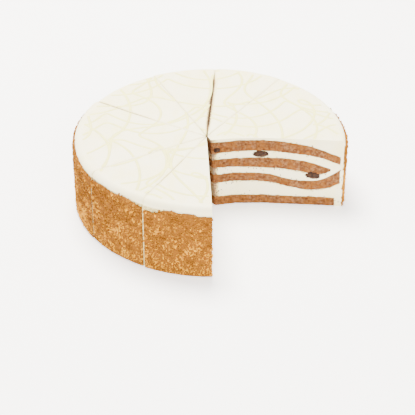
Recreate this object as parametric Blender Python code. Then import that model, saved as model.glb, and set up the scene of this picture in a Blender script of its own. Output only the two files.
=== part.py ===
"""A round layered carrot cake, cut into portions, with a quarter taken out.

The origin is the centre of the cake's base, +Z is up, and the open quarter lies between +X and -Y.
Each portion is built of four sponges, the cream that covers and fills it, and a coat of chopped nuts.
"""

import math
import random

import bmesh
import bpy
from mathutils import Vector

MM = 0.001

# The cake as a whole
CAKE_HEIGHT = 67.5 * MM
CREAM_RADIUS = 117.2 * MM
CREAM_EDGE_ROUND = 5.0 * MM
NUT_COAT_HEIGHT = 60.6 * MM
NUT_COAT_THICKNESS = 2.5 * MM
CONTACT_GAP = 0.3 * MM

# All cuts run from the rim to this point, a little off the axis
MEETING_POINT = Vector((-3.0 * MM, -7.0 * MM, 0.0))
# Where the cuts reach the rim, in degrees anticlockwise from +X, and the width of each gap.
# The first and the last are the two open faces of the missing quarter.
CUT_RIM_ANGLES = (-7.5, 56.0, 87.5, 117.2, 152.6, 213.0, 242.5, 270.9)
CUT_WIDTHS = tuple(width * MM for width in (0.4, 0.6, 1.5, 0.6, 0.8, 0.6, 0.7, 0.4))
# How far each portion's rim stands out from the cream radius, as the cut portions have slid a little
RIM_SHIFTS = tuple(shift * MM for shift in (0.1, 0.7, 0.0, -1.6, 0.3, -0.3, 0.6))

# The first portion's tip is pushed out into the open quarter and blunt: (reach, distance) in mm.
# Along its open face the tip's corner is drawn back at the top and stands forward at the base.
TIP_PUSH = ((0, 0.0), (6, 6.9), (25, 2.2), (48, 0.0), (130, 0.0))
TIP_SLIDE_AT_TOP = ((0, 0.0), (6, -2.5), (25, 0.0), (130, 0.0))
TIP_SLIDE_AT_BASE = ((0, 0.0), (6, 1.8), (25, 0.0), (130, 0.0))

# The sponges from the top down. Each face is a smooth line through (radius, height) points in mm.
SPONGE_LAYERS = {
    1: {
        "top": ((0, 64.0), (41, 65.3), (64, 64.3), (82, 61.6), (97, 57.4), (113.6, 50.6)),
        "bottom": ((0, 52.8), (40, 54.5), (75, 52.5), (95, 49.3), (113.6, 43.1)),
    },
    2: {
        "top": ((0, 46.8), (60, 47.4), (86, 44.4), (106.2, 38.0)),
        "bottom": ((0, 39.0), (25, 38.3), (58, 36.9), (80, 34.4), (95, 31.3), (106.2, 36.0)),
    },
    3: {
        "top": ((0, 32.0), (49, 31.3), (75, 25.2), (97, 26.0), (107, 31.7), (114.2, 37.1)),
        "bottom": ((0, 23.3), (49, 22.9), (86, 15.4), (104, 18.0), (114.6, 23.5)),
    },
    4: {
        "top": ((0, 9.2), (55, 8.8), (110.6, 8.4)),
        "bottom": ((0, 0.0), (111.2, 0.0)),
    },
}
# Radii in mm at which a layer's faces bend, besides its outer end. Up to the last of the tip
# radii a cut face can be bent, so it is made of upright strips between them.
TIP_RADII = (0.0, 6.0, 25.0, 48.0)
LAYER_RADII = (*TIP_RADII, 68.0, 84.0, 97.0, 107.0)
LEAST_LAST_STEP = 3.0

# Slow rise and fall of the layers round the cake
WAVE_HEIGHT = 0.55 * MM
TOP_WAVE_HEIGHT = 0.35 * MM

# Widest step between two rays of a portion's sweep, in degrees
CAKE_STEP = 11.0
NUT_STEP = 2.5
NUT_ROWS = 12
NUT_RELIEF = 0.65 * MM
NUT_EDGE_RELIEF = 0.7 * MM
NUT_SEED = 7

# Raisins in the two open faces: portion, cut, distance from the meeting point, height, length, thickness
RAISINS = (
    (1, 0, 45.0 * MM, 51.3 * MM, 16.0 * MM, 7.2 * MM),
    (1, 0, 91.0 * MM, 30.4 * MM, 15.0 * MM, 7.4 * MM),
    (1, 0, 9.5 * MM, 56.6 * MM, 6.4 * MM, 5.0 * MM),
    (7, 7, 55.0 * MM, 36.2 * MM, 14.0 * MM, 7.0 * MM),
    (7, 7, 76.0 * MM, 51.6 * MM, 12.0 * MM, 6.4 * MM),
)
RAISIN_DEPTH = 5.0 * MM
RAISIN_PROUD = 0.5 * MM

PORTION_COUNT = len(RIM_SHIFTS)


def clear_scene():
    for old in list(bpy.data.objects):
        bpy.data.objects.remove(old, do_unlink=True)


def make_material(name, colour, roughness):
    material = bpy.data.materials.new(name)
    material.use_nodes = True
    shader = material.node_tree.nodes["Principled BSDF"]
    shader.inputs["Base Color"].default_value = (*colour, 1.0)
    shader.inputs["Roughness"].default_value = roughness
    shader.inputs["Metallic"].default_value = 0.0
    return material


def along_knots(knots, position):
    """The number of the knots' span that holds a position, and the share of that span covered."""
    position = min(max(position, knots[0][0]), knots[-1][0])
    span = max(i for i in range(len(knots) - 1) if knots[i][0] <= position)
    share = (position - knots[span][0]) / (knots[span + 1][0] - knots[span][0])
    return span, share


def straight_value(knots, position):
    """The value at a position on straight lines through (position, value) knots."""
    span, share = along_knots(knots, position)
    return knots[span][1] + share * (knots[span + 1][1] - knots[span][1])


def smooth_value(knots, position):
    """The value at a position on a smooth line through (position, value) knots."""
    slopes = []
    for k in range(len(knots)):
        before = knots[max(k - 1, 0)]
        after = knots[min(k + 1, len(knots) - 1)]
        slopes.append((after[1] - before[1]) / (after[0] - before[0]))
    k, t = along_knots(knots, position)
    span = knots[k + 1][0] - knots[k][0]
    rise = knots[k + 1][1] - knots[k][1]
    start_pull = slopes[k] * span - rise
    end_pull = rise - slopes[k + 1] * span
    return knots[k][1] + t * rise + t * (1 - t) * ((1 - t) * start_pull + t * end_pull)


def layer_face(layer, side, end_shift=0.0):
    """One face of a sponge layer as (radius, height) points in metres, from the axis outwards."""
    knots = SPONGE_LAYERS[layer][side]
    end = knots[-1][0]
    inner_radii = [r for r in LAYER_RADII if r < end - LEAST_LAST_STEP]
    points = [(r * MM, smooth_value(knots, r) * MM) for r in inner_radii]
    points.append((end * MM + end_shift, smooth_value(knots, end) * MM))
    return points


def raised(points, by):
    return [(r, z + by) for r, z in points]


def sponge_outline(layer):
    """A sponge's section, kept half a contact gap inside the line between sponge and cream."""
    half_gap = CONTACT_GAP / 2
    bottom = layer_face(layer, "bottom", -half_gap)
    top = layer_face(layer, "top", -half_gap)
    if layer != max(SPONGE_LAYERS):
        bottom = raised(bottom, half_gap)
    return bottom + raised(top, -half_gap)[::-1]


def cream_outline():
    """The cream's section: the cover, the side coat and three fillings, as one comb-shaped line."""
    half_gap = CONTACT_GAP / 2
    corner = (CREAM_RADIUS - CREAM_EDGE_ROUND, CAKE_HEIGHT - CREAM_EDGE_ROUND)
    outline = raised(layer_face(4, "top", half_gap), half_gap)
    outline.append((layer_face(4, "bottom", half_gap)[-1][0], 0.0))
    outline.append((CREAM_RADIUS, 0.0))
    for turn in (0.0, 30.0, 60.0, 90.0):
        across = CREAM_EDGE_ROUND * math.cos(math.radians(turn))
        up = CREAM_EDGE_ROUND * math.sin(math.radians(turn))
        outline.append((corner[0] + across, corner[1] + up))
    outline.append((LAYER_RADII[5] * MM, CAKE_HEIGHT))
    outline += [(r * MM, CAKE_HEIGHT) for r in TIP_RADII[::-1]]
    for layer in (1, 2, 3):
        outline += raised(layer_face(layer, "top", half_gap), half_gap)
        outline += raised(layer_face(layer, "bottom", half_gap), -half_gap)[::-1]
    return outline


def nut_coat_outline():
    """The nut coat's section: a plain inner wall, and rows of points up its outer side."""
    inner = CREAM_RADIUS + CONTACT_GAP
    outer = CREAM_RADIUS + NUT_COAT_THICKNESS
    rows = [(outer, NUT_COAT_HEIGHT * row / NUT_ROWS) for row in range(NUT_ROWS + 1)]
    return [(inner, 0.0), *rows, (inner, NUT_COAT_HEIGHT)]


def height_share(height):
    return min(max(height / CAKE_HEIGHT, 0.0), 1.0)


def layer_wave(radius, angle, height):
    """How far the layers rise or fall at a place. It dies away at the base."""
    wave = math.sin(3 * angle + radius / (34 * MM)) + 0.6 * math.sin(5 * angle - radius / (19 * MM) + 1.0)
    top_wave = math.sin(4 * angle + 0.7) * math.sin(radius / (30 * MM))
    share = height_share(height)
    return WAVE_HEIGHT * math.sin(math.pi * share) * wave + TOP_WAVE_HEIGHT * share**3 * top_wave


def flat_direction(angle):
    return Vector((math.cos(angle), math.sin(angle), 0.0))


class Portion:
    """One cut portion: the two faces that bound it, the tip where they meet, and its rim."""

    def __init__(self, number):
        self.number = number
        self.start = self.cut_direction(number - 1)
        self.end = self.cut_direction(number)
        if self.end < self.start:
            self.end += 2 * math.pi
        self.start_inset = CUT_WIDTHS[number - 1] / 2
        self.end_inset = CUT_WIDTHS[number] / 2
        self.rim = CREAM_RADIUS + RIM_SHIFTS[number - 1]
        self.tip = self.faces_meet()

    @staticmethod
    def cut_direction(cut):
        """A cut's direction from the meeting point to its end on the rim."""
        rim_end = flat_direction(math.radians(CUT_RIM_ANGLES[cut])) * CREAM_RADIUS
        run = rim_end - MEETING_POINT
        return math.atan2(run.y, run.x)

    def faces_meet(self):
        """Where the two cut faces cross, each moved into the portion by half its gap."""
        width = self.end - self.start
        along_start = (self.start_inset * math.cos(width) + self.end_inset) / math.sin(width)
        inward = flat_direction(self.start + math.pi / 2)
        return MEETING_POINT + flat_direction(self.start) * along_start + inward * self.start_inset

    def ray_length(self, angle):
        """From the tip along an angle to the circle of the rim."""
        along = self.tip.dot(flat_direction(angle))
        return -along + math.sqrt(along * along + self.rim**2 - self.tip.length_squared)

    def place(self, radius, angle, height):
        reach = radius * self.ray_length(angle) / CREAM_RADIUS
        place = self.tip + flat_direction(angle) * reach
        if self.number == 1:
            place += self.tip_shift(reach / MM, angle, height_share(height))
        place.z = height + layer_wave(radius, angle, height)
        return place

    def tip_shift(self, reach, angle, level):
        """How far the tip's open side is moved out and along. It dies away towards the other cut."""
        share = (self.end - angle) / (self.end - self.start)
        push = straight_value(TIP_PUSH, reach)
        slide_at_top = straight_value(TIP_SLIDE_AT_TOP, reach)
        slide_at_base = straight_value(TIP_SLIDE_AT_BASE, reach)
        slide = slide_at_base + (slide_at_top - slide_at_base) * level
        outward = flat_direction(self.start - math.pi / 2)
        return (outward * push + flat_direction(self.start) * slide) * share * MM

    def rays(self, widest_step):
        count = math.ceil(math.degrees(self.end - self.start) / widest_step)
        return [self.start + (self.end - self.start) * k / count for k in range(count + 1)]


def link_mesh(name, builder, material, smooth_angle=30.0):
    """Makes a named object from a bmesh, with its faces turned outwards."""
    bmesh.ops.recalc_face_normals(builder, faces=builder.faces)
    mesh = bpy.data.meshes.new(name)
    builder.to_mesh(mesh)
    builder.free()
    mesh.materials.append(material)
    mesh.shade_smooth()
    mesh.set_sharp_from_angle(angle=math.radians(smooth_angle))
    obj = bpy.data.objects.new(name, mesh)
    bpy.context.scene.collection.objects.link(obj)
    return obj


def no_relief(_row, _column):
    return 0.0, 0.0


def close_cut_face(builder, outline, ring):
    """Fills a cut face: upright strips between the tip radii, and one face for the rest."""
    for near, far in zip(TIP_RADII, TIP_RADII[1:]):
        near_side, far_side = (
            sorted((z, row) for row, (r, z) in enumerate(outline) if r == side * MM)
            for side in (near, far)
        )
        for k in range(0, len(near_side), 2):
            rows = (near_side[k][1], far_side[k][1], far_side[k + 1][1], near_side[k + 1][1])
            builder.faces.new([ring[row] for row in rows])
    outer_part = [ring[row] for row, (r, _z) in enumerate(outline) if r >= TIP_RADII[-1] * MM]
    builder.faces.new(outer_part)


def swept_portion(name, portion, outline, widest_step, material, relief=no_relief):
    """Sweeps a section from one cut face of a portion to the other.

    Points on the axis are shared by all rays. relief gives how far a row's point stands out and up.
    """
    builder = bmesh.new()
    rings = []
    for column, angle in enumerate(portion.rays(widest_step)):
        ring = []
        for row, (radius, height) in enumerate(outline):
            if radius == 0.0 and rings:
                ring.append(rings[0][row])
                continue
            stand_out, stand_up = relief(row, column)
            ring.append(builder.verts.new(portion.place(radius + stand_out, angle, height + stand_up)))
        rings.append(ring)
    for near, far in zip(rings, rings[1:]):
        for row in range(len(outline)):
            after = (row + 1) % len(outline)
            corners = [near[row], near[after], far[after], far[row]]
            unique = list(dict.fromkeys(corners))
            if len(unique) > 2:
                builder.faces.new(unique)
    close_cut_face(builder, outline, rings[0])
    close_cut_face(builder, outline, rings[-1])
    return link_mesh(name, builder, material)


def make_nut_coat(portion, material):
    """The chopped nuts pressed on the side, as a wall with bumps of a nut's size and an uneven top."""
    chance = random.Random(NUT_SEED + portion.number)
    top_row = NUT_ROWS + 1
    edge_lifts = [chance.uniform(-NUT_EDGE_RELIEF, NUT_EDGE_RELIEF) for _ray in portion.rays(NUT_STEP)]

    def relief(row, column):
        stand_up = edge_lifts[column] if row >= top_row else 0.0
        if row == 0 or row > top_row:
            return 0.0, stand_up
        return chance.uniform(-NUT_RELIEF, NUT_RELIEF), stand_up

    name = f"nut_coat_{portion.number}"
    swept_portion(name, portion, nut_coat_outline(), NUT_STEP, material, relief)


def raisin_mesh(name, place, turn, sizes, material):
    """A plump wrinkled oval with its long axis along the cut face."""
    builder = bmesh.new()
    bmesh.ops.create_uvsphere(builder, u_segments=12, v_segments=6, radius=0.5)
    length, depth, thickness = sizes
    for vert in builder.verts:
        x, y, z = vert.co
        wrinkle = 1.0 + 0.05 * math.sin(14 * x + 9 * y) * math.cos(11 * z)
        vert.co = Vector((x * length, y * depth, z * thickness)) * wrinkle
    obj = link_mesh(name, builder, material, smooth_angle=60.0)
    obj.location = place
    obj.rotation_euler = (0.0, 0.0, turn)
    return obj


def make_raisin(number, raisin, portions, cake, material):
    """A raisin in an open face, and its pocket in the cream and sponge round it."""
    portion_number, cut, distance, height, length, thickness = raisin
    portion = portions[portion_number - 1]
    at_start = cut == portion_number - 1
    turn = portion.start if at_start else portion.end
    inward = flat_direction(turn + math.pi / 2 if at_start else turn - math.pi / 2)
    place = portion.place(distance, turn, height) + inward * (RAISIN_DEPTH / 2 - RAISIN_PROUD)
    sizes = (length, RAISIN_DEPTH, thickness)
    raisin_mesh(f"raisin_{number}", place, turn, sizes, material)
    pocket_sizes = tuple(size + 2 * CONTACT_GAP for size in sizes)
    pocket = raisin_mesh(f"pocket_{number}", place, turn, pocket_sizes, material)
    pocket.hide_render = True
    pocket.display_type = "WIRE"
    for piece in cake[portion_number]:
        cut_out = piece.modifiers.new(f"pocket_{number}", "BOOLEAN")
        cut_out.object = pocket
        cut_out.operation = "DIFFERENCE"
        cut_out.solver = "EXACT"


def main():
    clear_scene()
    cream = make_material("cream", (0.93, 0.91, 0.84), 0.5)
    sponge = make_material("sponge", (0.58, 0.36, 0.21), 0.9)
    nuts = make_material("chopped_nuts", (0.78, 0.52, 0.24), 0.75)
    raisin = make_material("raisin", (0.10, 0.05, 0.04), 0.45)

    portions = [Portion(number) for number in range(1, PORTION_COUNT + 1)]
    cake = {}
    for portion in portions:
        number = portion.number
        pieces = [swept_portion(f"cream_{number}", portion, cream_outline(), CAKE_STEP, cream)]
        for layer in SPONGE_LAYERS:
            name = f"sponge_{layer}_{number}"
            pieces.append(swept_portion(name, portion, sponge_outline(layer), CAKE_STEP, sponge))
        cake[number] = pieces
        make_nut_coat(portion, nuts)
    for number, placed in enumerate(RAISINS, start=1):
        make_raisin(number, placed, portions, cake, raisin)


main()
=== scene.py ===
"""The looks of a round layered carrot cake, cut into portions, with a quarter taken out.

The file is laid out as an add-on and run as a script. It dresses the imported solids: it repeats their
form from the same named sizes, with the crumb, the soft cream, the chopped nuts, the raisins and the
thin drizzle that the solids leave out. Lengths are in millimetres until a mesh is made.
"""

import math
import random

import bmesh
import bpy
from mathutils import Matrix, Vector, noise
from mathutils.geometry import delaunay_2d_cdt


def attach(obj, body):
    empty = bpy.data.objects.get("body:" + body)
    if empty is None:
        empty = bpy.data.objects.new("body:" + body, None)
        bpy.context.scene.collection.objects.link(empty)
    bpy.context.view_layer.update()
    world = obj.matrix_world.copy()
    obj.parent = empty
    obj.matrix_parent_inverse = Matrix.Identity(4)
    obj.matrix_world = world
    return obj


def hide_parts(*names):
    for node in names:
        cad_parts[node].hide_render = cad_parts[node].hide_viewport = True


bl_info = {
    "name": "Carrot Cake Looks",
    "version": (1, 0, 0),
    "blender": (4, 5, 0),
    "location": "View3D > Sidebar > Cake",
    "description": "Dresses a cut carrot cake with crumb, cream, nuts, raisins, drizzle and a studio",
    "category": "Object",
}

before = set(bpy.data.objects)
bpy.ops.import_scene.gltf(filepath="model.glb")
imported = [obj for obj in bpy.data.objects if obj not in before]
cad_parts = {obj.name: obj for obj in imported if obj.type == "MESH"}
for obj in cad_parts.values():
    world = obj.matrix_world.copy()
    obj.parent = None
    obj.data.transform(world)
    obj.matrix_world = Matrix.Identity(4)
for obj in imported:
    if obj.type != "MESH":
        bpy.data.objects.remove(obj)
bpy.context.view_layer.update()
MM = 0.001
BODY = "root"

# The cake, as its solids have it
CAKE_HEIGHT = 67.5
CREAM_RADIUS = 117.2
CREAM_EDGE_ROUND = 5.0
NUT_COAT_HEIGHT = 60.6
MEETING_POINT = Vector((-3.0, -7.0, 0.0))
CUT_RIM_ANGLES = (-7.5, 56.0, 87.5, 117.2, 152.6, 213.0, 242.5, 270.9)
CUT_WIDTHS = (0.4, 0.6, 1.5, 0.6, 0.8, 0.6, 0.7, 0.4)
RIM_SHIFTS = (0.1, 0.7, 0.0, -1.6, 0.3, -0.3, 0.6)
TIP_PUSH = ((0, 0.0), (6, 6.9), (25, 2.2), (48, 0.0), (130, 0.0))
TIP_SLIDE_AT_TOP = ((0, 0.0), (6, -2.5), (25, 0.0), (130, 0.0))
TIP_SLIDE_AT_BASE = ((0, 0.0), (6, 1.8), (25, 0.0), (130, 0.0))
SPONGE_LAYERS = {
    1: {
        "top": ((0, 64.0), (41, 65.3), (64, 64.3), (82, 61.6), (97, 57.4), (113.6, 50.6)),
        "bottom": ((0, 52.8), (40, 54.5), (75, 52.5), (95, 49.3), (113.6, 43.1)),
    },
    2: {
        "top": ((0, 46.8), (60, 47.4), (86, 44.4), (106.2, 38.0)),
        "bottom": ((0, 39.0), (25, 38.3), (58, 36.9), (80, 34.4), (95, 31.3), (106.2, 36.0)),
    },
    3: {
        "top": ((0, 32.0), (49, 31.3), (75, 25.2), (97, 26.0), (107, 31.7), (114.2, 37.1)),
        "bottom": ((0, 23.3), (49, 22.9), (86, 15.4), (104, 18.0), (114.6, 23.5)),
    },
    4: {
        "top": ((0, 9.2), (55, 8.8), (110.6, 8.4)),
        "bottom": ((0, 0.0), (111.2, 0.0)),
    },
}
WAVE_HEIGHT = 0.55
TOP_WAVE_HEIGHT = 0.35
RAISINS = (
    (1, 0, 45.0, 51.3, 16.0, 7.2),
    (1, 0, 91.0, 30.4, 15.0, 7.4),
    (1, 0, 9.5, 56.6, 6.4, 5.0),
    (7, 7, 55.0, 36.2, 14.0, 7.0),
    (7, 7, 76.0, 51.6, 12.0, 6.4),
)
RAISIN_DEPTH = 5.0
PORTION_COUNT = len(RIM_SHIFTS)
OPEN_SIDES = {1: "start", PORTION_COUNT: "end"}

# How wide each cut stands open in the soft cream, along its run: (distance from the tip, width)
CUT_OPENINGS = {
    1: ((0, 0.2), (90, 0.22), (110, 0.16), (117, 0.1)),
    2: ((0, 0.5), (20, 0.8), (95, 0.8), (108, 0.4), (117, 0.15)),
    3: ((0, 0.2), (60, 0.22), (100, 0.2), (117, 0.12)),
    4: ((0, 0.14), (45, 0.2), (60, 0.55), (110, 0.6), (117, 0.45)),
    5: ((0, 0.14), (90, 0.16), (117, 0.1)),
    6: ((0, 0.08), (32, 0.1), (45, 0.45), (84, 0.45), (94, 0.2), (117, 0.1)),
}

# The camera, fitted to the photograph
IMAGE_SIZE = 415
FOCAL_PIXELS = 1339.0
BASE_CENTRE_PIXEL = (209.9, 196.2)
SENSOR_WIDTH = 36.0


# Numbers along lines


def along_knots(knots, position):
    """The number of the knots' span that holds a position, and the share of that span covered."""
    position = min(max(position, knots[0][0]), knots[-1][0])
    span = max(i for i in range(len(knots) - 1) if knots[i][0] <= position)
    share = (position - knots[span][0]) / (knots[span + 1][0] - knots[span][0])
    return span, share


def straight_value(knots, position):
    """The value at a position on straight lines through (position, value) knots."""
    span, share = along_knots(knots, position)
    return knots[span][1] + share * (knots[span + 1][1] - knots[span][1])


def smooth_value(knots, position):
    """The value at a position on a smooth line through (position, value) knots."""
    slopes = []
    for k in range(len(knots)):
        before = knots[max(k - 1, 0)]
        after = knots[min(k + 1, len(knots) - 1)]
        slopes.append((after[1] - before[1]) / (after[0] - before[0]))
    k, t = along_knots(knots, position)
    span = knots[k + 1][0] - knots[k][0]
    rise = knots[k + 1][1] - knots[k][1]
    start_pull = slopes[k] * span - rise
    end_pull = rise - slopes[k + 1] * span
    return knots[k][1] + t * rise + t * (1 - t) * ((1 - t) * start_pull + t * end_pull)


def eased(value):
    """0 below 0, 1 above 1, and a smooth rise between."""
    value = min(max(value, 0.0), 1.0)
    return value * value * (3 - 2 * value)


def evenly(start, end, step):
    """Numbers from start to end, both included, at most a step apart."""
    count = max(1, math.ceil(abs(end - start) / step))
    return [start + (end - start) * k / count for k in range(count + 1)]


def flat_direction(angle):
    return Vector((math.cos(angle), math.sin(angle), 0.0))


def height_share(height):
    return min(max(height / CAKE_HEIGHT, 0.0), 1.0)


# The cake's form

SECTION_STEP = 1.0
WALL_STEP = 2.0
TOP_STEP = 1.5
EDGE_TURN_STEP = 9.0
RAY_STEP = 3.0
EDGE_RAYS = (0.3, 0.8)
SPONGE_END_ROUND = 0.9
TOP_UNEVENNESS = 0.3
TOP_STRETCH = 1.6
TIP_FADE_REACH = 8.0
TOP_EDGE_BLEND = 4.0
WALL_EDGE_BLEND = 3.0
CUT_EDGE_DROP = 0.55
CUT_EDGE_REACH = 0.6
LEAST_STAIN = 0.2
STAIN_FOR_OPENING = 2.0
CUT_STAIN_REACH = 0.9
SEAM_REACH = 1.0
SEAM_BULGE = 1.2
SEAM_MARGINS = (0.45, 0.45, 0.45, 0.45, 0.45, 0.45, 0.9, 0.45)
SEAM_STAINS = (0.5, 0.5, 0.5, 0.5, 0.5, 0.58, 0.38, 0.5)
OPEN_FACE_STEP = 0.75
HIDDEN_FACE_STEP = 5.0

# Lumps of uneven places: (height, size)
BOUNDARY_LUMPS = ((0.5, 6.5), (0.3, 2.3))
TOP_LUMPS = ((1.0, 31.0), (0.45, 11.0))


def layer_wave(radius, angle, height):
    """How far the layers rise or fall at a place. It dies away at the base."""
    wave = math.sin(3 * angle + radius / 34) + 0.6 * math.sin(5 * angle - radius / 19 + 1.0)
    top_wave = math.sin(4 * angle + 0.7) * math.sin(radius / 30)
    share = height_share(height)
    return WAVE_HEIGHT * math.sin(math.pi * share) * wave + TOP_WAVE_HEIGHT * share**3 * top_wave


def lumpy(spot, lumps):
    """How far a spot stands out or in, with each kind of lump given as its height and size."""
    return sum(height * noise.noise(spot / size) for height, size in lumps)


def boundary_wobble(tag, place):
    """The uneven line between a sponge and the cream. Both read it, so they stay together."""
    if not tag:
        return 0.0
    return lumpy(Vector((place.x, place.y, 31.0 * tag)), BOUNDARY_LUMPS)


def top_unevenness(place):
    """Low swells that the palette knife leaves in the cream's top."""
    return TOP_UNEVENNESS * lumpy(Vector((place.x, place.y * TOP_STRETCH, 5.0)), TOP_LUMPS)


class Portion:
    """One cut portion: the two faces that bound it, the tip where they meet, and its rim."""

    def __init__(self, number):
        self.number = number
        self.start = self.cut_direction(number - 1)
        self.end = self.cut_direction(number)
        if self.end < self.start:
            self.end += 2 * math.pi
        self.start_inset = CUT_WIDTHS[number - 1] / 2
        self.end_inset = CUT_WIDTHS[number] / 2
        self.rim = CREAM_RADIUS + RIM_SHIFTS[number - 1]
        self.tip = self.faces_meet()
        self.open_side = OPEN_SIDES.get(number)

    @staticmethod
    def cut_direction(cut):
        """A cut's direction from the meeting point to its end on the rim."""
        rim_end = flat_direction(math.radians(CUT_RIM_ANGLES[cut])) * CREAM_RADIUS
        run = rim_end - MEETING_POINT
        return math.atan2(run.y, run.x)

    def faces_meet(self):
        """Where the two cut faces cross, each moved into the portion by half its gap."""
        width = self.end - self.start
        along_start = (self.start_inset * math.cos(width) + self.end_inset) / math.sin(width)
        inward = flat_direction(self.start + math.pi / 2)
        return MEETING_POINT + flat_direction(self.start) * along_start + inward * self.start_inset

    def ray_length(self, angle):
        """From the tip along an angle to the circle of the rim."""
        along = self.tip.dot(flat_direction(angle))
        return -along + math.sqrt(along * along + self.rim**2 - self.tip.length_squared)

    def side_angle(self, side):
        """The direction of the cut face on a side."""
        return self.start if side == "start" else self.end

    def outward(self, side):
        """The way that a cut face looks."""
        quarter = -math.pi / 2 if side == "start" else math.pi / 2
        return flat_direction(self.side_angle(side) + quarter)

    def cut_distance(self, reach, angle):
        """How far a place at a reach from the tip lies from the nearer cut face."""
        nearest = min(angle - self.start, self.end - angle)
        return reach * math.sin(min(max(nearest, 0.0), math.pi / 2))

    def tip_shift(self, reach, angle, level):
        """How far the first portion's open tip is moved out and along."""
        share = (self.end - angle) / (self.end - self.start)
        slide_at_base = straight_value(TIP_SLIDE_AT_BASE, reach)
        slide = slide_at_base + (straight_value(TIP_SLIDE_AT_TOP, reach) - slide_at_base) * level
        push = straight_value(TIP_PUSH, reach)
        return (self.outward("start") * push + flat_direction(self.start) * slide) * share

    def cut_on(self, side):
        """The number of the cut on a side."""
        return self.number - (side == "start")

    def spread(self, side, reach):
        """How far the soft cream has spread back into a cut."""
        if side == self.open_side:
            return Vector((0.0, 0.0, 0.0))
        cut = self.cut_on(side)
        closing = (CUT_WIDTHS[cut] - straight_value(CUT_OPENINGS[cut], reach)) / 2
        return self.outward(side) * closing * min(reach / TIP_FADE_REACH, 1.0)

    def flat_place(self, radius, angle, height):
        """The place in plan of a point of the section."""
        reach = radius * self.ray_length(angle) / CREAM_RADIUS
        place = self.tip + flat_direction(angle) * reach
        if self.number == 1:
            place += self.tip_shift(reach, angle, height_share(height))
        return place

    def place(self, mark, angle, side=None):
        """A section mark's place on the ray at an angle. side names a cut face that the ray is on."""
        radius, height, tag = mark
        place = self.flat_place(radius, angle, height)
        place.z = height + layer_wave(radius, angle, height) + boundary_wobble(tag, place)
        if side and radius > 0.0:
            place += self.spread(side, radius)
        return place

    def rays(self):
        """The angles of the sweep, with extra rays close to both cuts."""
        angles = evenly(self.start, self.end, math.radians(RAY_STEP))
        near_cut = [math.radians(step) for step in EDGE_RAYS]
        first = [self.start + step for step in near_cut]
        last = [self.end - step for step in reversed(near_cut)]
        return [angles[0], *first, *angles[1:-1], *last, angles[-1]]


PORTIONS = [Portion(number) for number in range(1, PORTION_COUNT + 1)]


# Sections: lists of marks, each a radius, a height and the tag of the boundary it lies on


def boundary_tag(layer, side):
    """0 for a plain mark, else a number of its own for each uneven boundary."""
    if layer == max(SPONGE_LAYERS) and side == "bottom":
        return 0
    return layer * 2 + (side == "top")


def layer_line(layer, side):
    """One face of a sponge layer as marks from the axis outwards."""
    knots = SPONGE_LAYERS[layer][side]
    tag = boundary_tag(layer, side)
    return [(r, smooth_value(knots, r), tag) for r in evenly(0.0, knots[-1][0], SECTION_STEP)]


def straight_line(first, last, step):
    """Untagged marks between two marks, both left out."""
    shares = evenly(0.0, 1.0, step / math.dist(first[:2], last[:2]))[1:-1]
    return [(*(a + (b - a) * share for a, b in zip(first[:2], last[:2])), 0) for share in shares]


def sponge_section(layer):
    bottom = layer_line(layer, "bottom")
    top = layer_line(layer, "top")
    end = straight_line(bottom[-1], top[-1], SECTION_STEP)
    rounded = []
    for k, (radius, height, tag) in enumerate(end, start=1):
        bulge = SPONGE_END_ROUND * math.sin(math.pi * k / (len(end) + 1))
        rounded.append((radius + bulge, height, tag))
    return bottom + rounded + top[::-1]


def cream_section():
    """The cover, the side coat and the three fillings, as one comb-shaped line."""
    last = max(SPONGE_LAYERS)
    foot = layer_line(last, "bottom")[-1]
    outline = layer_line(last, "top")
    outline += straight_line(outline[-1], foot, SECTION_STEP) + [foot]
    wall_foot = (CREAM_RADIUS, 0.0, 0)
    wall_top = (CREAM_RADIUS, CAKE_HEIGHT - CREAM_EDGE_ROUND, 0)
    outline += straight_line(foot, wall_foot, SECTION_STEP) + [wall_foot]
    outline += straight_line(wall_foot, wall_top, WALL_STEP)
    for turn in evenly(0.0, 90.0, EDGE_TURN_STEP):
        across = CREAM_EDGE_ROUND * (math.cos(math.radians(turn)) - 1)
        up = CREAM_EDGE_ROUND * (math.sin(math.radians(turn)) - 1)
        outline.append((CREAM_RADIUS + across, CAKE_HEIGHT + up, 0))
    rim = (CREAM_RADIUS - CREAM_EDGE_ROUND, CAKE_HEIGHT, 0)
    axis = (0.0, CAKE_HEIGHT, 0)
    outline += straight_line(rim, axis, TOP_STEP) + [axis]
    for layer in range(1, last):
        top = layer_line(layer, "top")
        bottom = layer_line(layer, "bottom")
        outline += top + straight_line(top[-1], bottom[-1], SECTION_STEP) + bottom[::-1]
    return outline


def filling_of(radius, height):
    """Distance from a place on a cut face into the nearest sponge: below 0 is inside it."""
    distances = []
    for faces in SPONGE_LAYERS.values():
        end = faces["top"][-1][0]
        above = height - smooth_value(faces["top"], min(radius, end))
        below = smooth_value(faces["bottom"], min(radius, end)) - height
        distances.append(max(above, below, radius - end))
    return min(distances)


# Relief of the cut faces: how far a place stands out, and how deep in a hole it is from 0 to 1, which the
# materials paint as shade in the holes

LARGE_HOLES = {"cell": 4.2, "radius": 1.5, "kept": 0.55}
SMALL_HOLES = {"cell": 1.9, "radius": 0.8, "kept": 0.6}
BUBBLES = {"cell": 7.0, "radius": 0.8, "kept": 0.3}
SMALL_HOLE_DEPTH, BUBBLE_DEPTH = 0.4, 0.45
SPONGE_LUMPS = ((0.28, 4.0), (0.22, 1.4))
CREAM_LUMPS = ((0.22, 4.0), (0.1, 1.3))
CREAM_STRETCH = 3.2
SMEAR_LUMPS = ((0.9, 3.0), (0.5, 1.1))
TIP_SHADE = 0.8
TIP_SHADE_REACH = 6.0
TIP_SMEAR_AND_SHADE, TIP_SMEAR_PATCHES = 0.75, 0.35
TIP_SMEAR_REACHES = {1: 7.5, PORTION_COUNT: 4.0}
SPONGE_SMEAR, SPONGE_SMEAR_REACH = 0.42, 0.9
FACE_FADE_REACH = 3.0


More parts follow.
